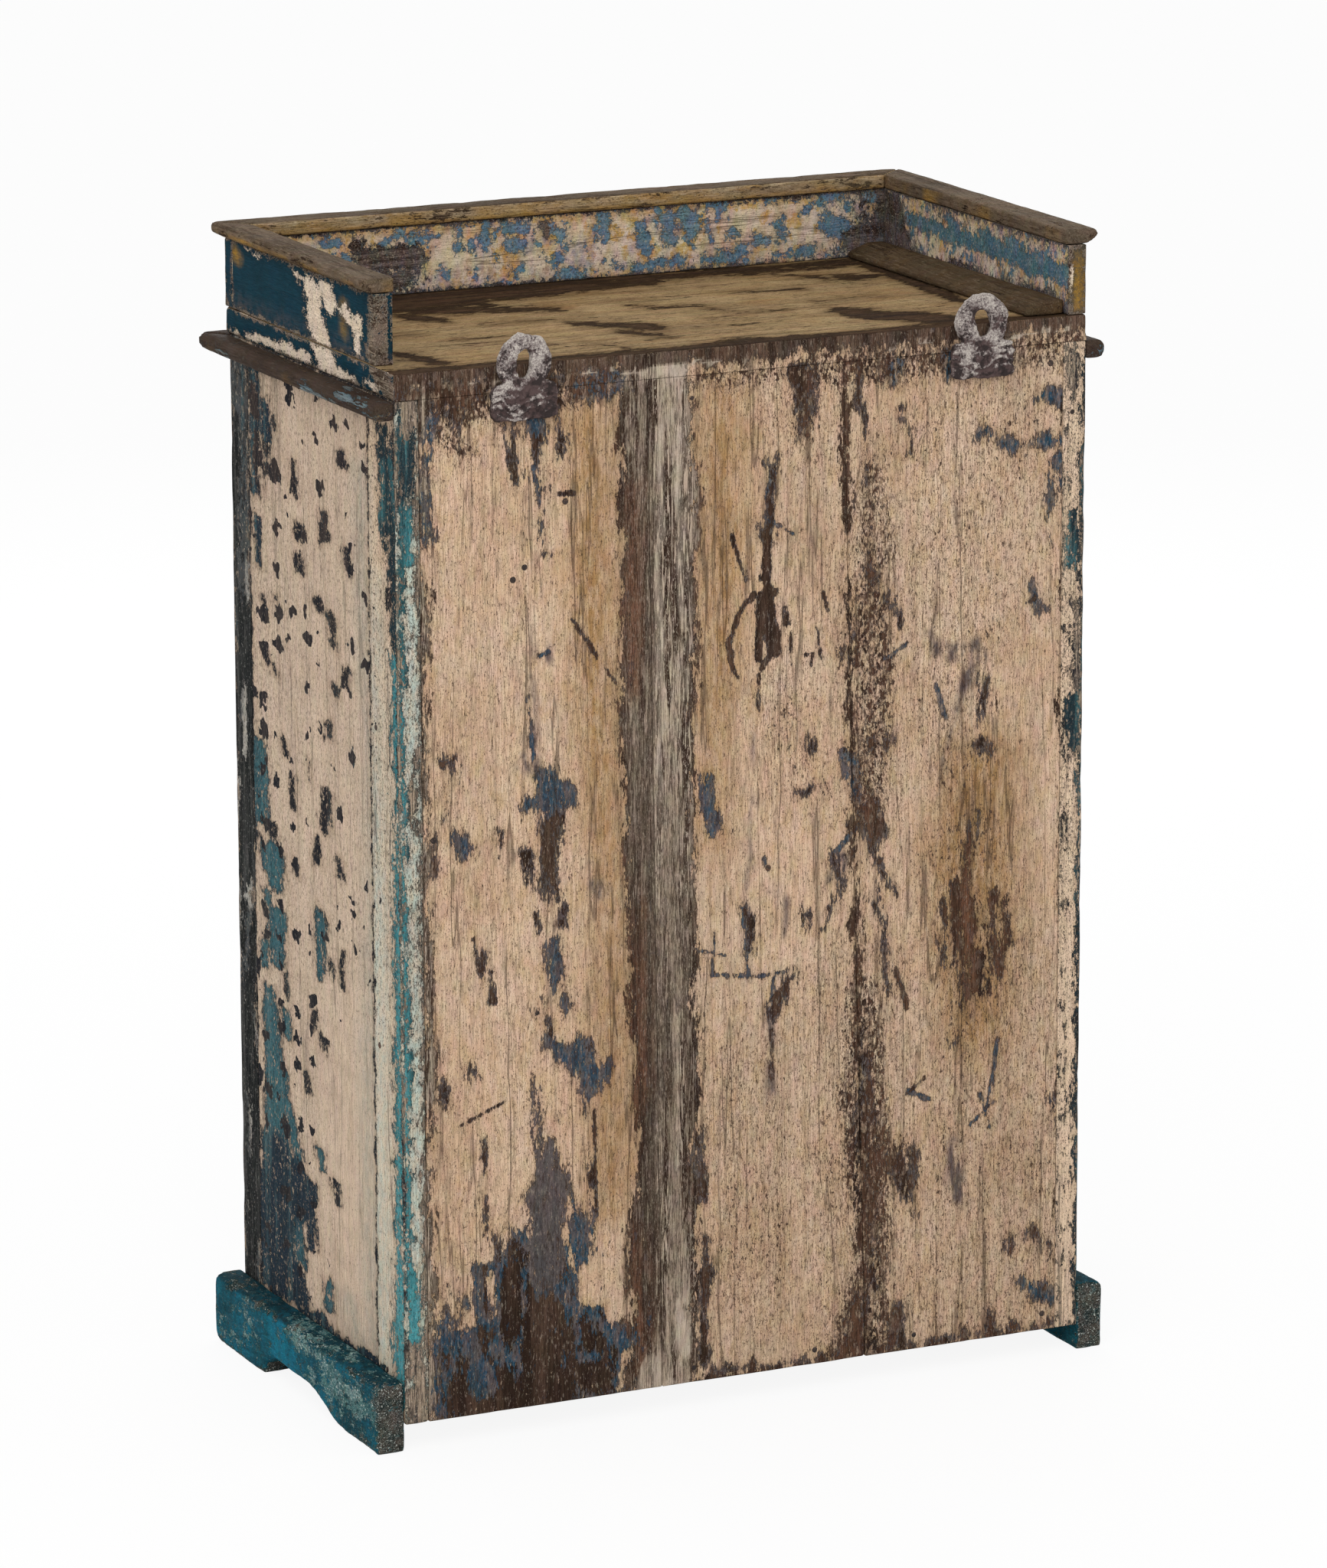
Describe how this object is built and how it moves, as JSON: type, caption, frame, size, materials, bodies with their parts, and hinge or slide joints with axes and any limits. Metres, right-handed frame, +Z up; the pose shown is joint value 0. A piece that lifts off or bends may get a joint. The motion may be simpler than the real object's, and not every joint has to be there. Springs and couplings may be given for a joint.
{
  "type": "display cabinet",
  "caption": "Painted wooden display cabinet with glazed doors, inner shelves, a low gallery round the top, bracket feet and iron eyes at the back for hanging.",
  "frame": {"origin": "on the floor, under the middle of the whole box", "axes": "+Z up, the doors face -Y, the boarded back faces +Y, right as seen from the front is +X"},
  "size_m": [0.6492, 0.3652, 0.9315],
  "materials": {
    "board_paint": "flaking cream paint over blue paint and bare wood",
    "frame_paint": "flaking petrol blue paint over wood",
    "foot_paint": "worn teal paint over wood",
    "bar_paint": "worn ochre paint over wood",
    "top_wood": "weathered bare wood",
    "bare_wood": "weathered bare wood with paint traces",
    "old_iron": "rusted forged iron",
    "pane_glass": "old clear sheet glass"
  },
  "bodies": {
    "carcass": {"left_front_post": "frame_paint", "right_front_post": "frame_paint", "left_side_board": "board_paint", "right_side_board": "board_paint", "left_side_rear_board": "board_paint", "right_side_rear_board": "board_paint", "front_top_rail": "frame_paint", "front_bottom_rail": "frame_paint", "bottom_board": "bare_wood", "lower_shelf": "board_paint", "upper_shelf": "board_paint", "back_board_left": "board_paint", "back_board_middle": "board_paint", "back_board_right": "board_paint", "top_board": "top_wood", "front_nosing": "bare_wood", "left_nosing": "bare_wood", "right_nosing": "bare_wood", "gallery_front_board": "frame_paint", "gallery_left_board": "frame_paint", "gallery_right_board": "frame_paint", "gallery_left_batten": "bare_wood", "cap_front": "bare_wood", "cap_left": "bare_wood", "cap_right": "bare_wood", "left_foot": "foot_paint", "right_foot": "foot_paint", "left_hanging_eye": "old_iron", "right_hanging_eye": "old_iron", "left_upper_hinge_fixed_leaf": "old_iron", "left_upper_hinge_pin": "old_iron", "left_lower_hinge_fixed_leaf": "old_iron", "left_lower_hinge_pin": "old_iron", "right_upper_hinge_fixed_leaf": "old_iron", "right_upper_hinge_pin": "old_iron", "right_lower_hinge_fixed_leaf": "old_iron", "right_lower_hinge_pin": "old_iron"},
    "left_door": {"left_door_hinge_stile": "frame_paint", "left_door_meeting_stile": "frame_paint", "left_door_top_rail": "frame_paint", "left_door_bottom_rail": "frame_paint", "left_door_glazing_bar": "bar_paint", "left_door_glass": "pane_glass", "left_door_glass_bead": "bar_paint", "left_door_knob": "bare_wood", "left_upper_hinge_moving_leaf": "old_iron", "left_lower_hinge_moving_leaf": "old_iron"},
    "right_door": {"right_door_hinge_stile": "frame_paint", "right_door_meeting_stile": "frame_paint", "right_door_top_rail": "frame_paint", "right_door_bottom_rail": "frame_paint", "right_door_glazing_bar": "bar_paint", "right_door_glass": "pane_glass", "right_door_glass_bead": "bar_paint", "right_door_knob": "bare_wood", "right_upper_hinge_moving_leaf": "old_iron", "right_lower_hinge_moving_leaf": "old_iron", "turn_button_screw": "old_iron"},
    "turn_button": {"turn_button": "bare_wood"}
  },
  "joints": [
    {"name": "left_door_hinge", "type": "hinge", "parent": "carcass", "child": "left_door", "pos_m": [-0.25925, -0.16095, 0.0635], "axis": [0, 0, -1], "range_deg": [0, 170]},
    {"name": "right_door_hinge", "type": "hinge", "parent": "carcass", "child": "right_door", "pos_m": [0.25925, -0.16095, 0.0635], "axis": [0, 0, 1], "range_deg": [0, 170]},
    {"name": "turn_button_pivot", "type": "hinge", "parent": "right_door", "child": "turn_button", "pos_m": [0.02125, -0.15665, 0.432], "axis": [0, 1, 0], "range_deg": [-90, 90]}
  ]
}
